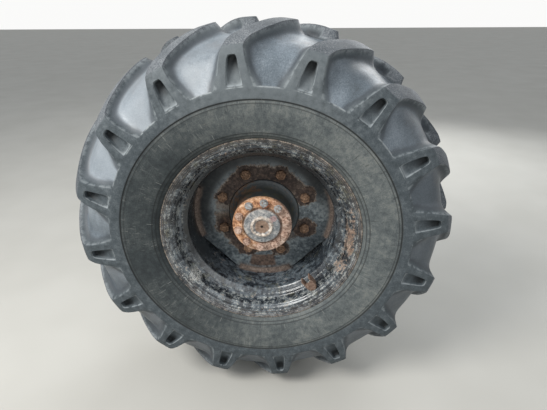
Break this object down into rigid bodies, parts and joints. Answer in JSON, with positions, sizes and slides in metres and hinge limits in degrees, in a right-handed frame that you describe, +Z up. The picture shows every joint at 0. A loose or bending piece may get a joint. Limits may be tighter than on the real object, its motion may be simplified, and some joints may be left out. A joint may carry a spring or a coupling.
{
  "type": "dumper wheel on its axle end",
  "caption": "Lugged traction wheel of a site dumper, bolted to its hub, turning freely on a spindle and axle casing end with a bolted mounting flange.",
  "frame": {"origin": "centre of the axle casing's mounting face", "axes": "+Y along the axle out of the mounting face, towards the machine; the outer side of the wheel faces -Y; +Z up"},
  "size_m": [1.1324, 0.44, 1.1324],
  "materials": {
    "tyre_rubber": "worn satin rubber, dusty",
    "rim_paint": "chipped black paint with rust",
    "disc_paint": "dark blue-black paint, rust round the nuts",
    "hub_paint": "worn dark blue-grey paint",
    "rusty_steel": "rough brown rust",
    "bearing_steel": "turned and greased steel",
    "drum_iron": "rough cast iron with brown rust",
    "axle_paint": "dull black paint",
    "valve_metal": "pale corroded brass"
  },
  "bodies": {
    "axle_end": {"axle_casing": "axle_paint", "axle_spindle": "bearing_steel", "brake_backplate": "axle_paint", "casing_bolts": "rusty_steel"},
    "wheel": {"tyre": "tyre_rubber", "rim": "rim_paint", "wheel_disc": "disc_paint", "disc_welds": "rusty_steel", "wheel_studs": "rusty_steel", "wheel_nuts": "rusty_steel", "hub": "hub_paint", "wheel_bearings": "bearing_steel", "half_shaft": "rusty_steel", "flange_bolts": "rusty_steel", "brake_drum": "drum_iron", "valve_stem": "valve_metal", "valve_guard": "rusty_steel"}
  },
  "joints": [
    {"name": "wheel_spin", "type": "hinge", "parent": "axle_end", "child": "wheel", "pos_m": [0, -0.235, 0], "axis": [0, 1, 0], "continuous": true}
  ]
}
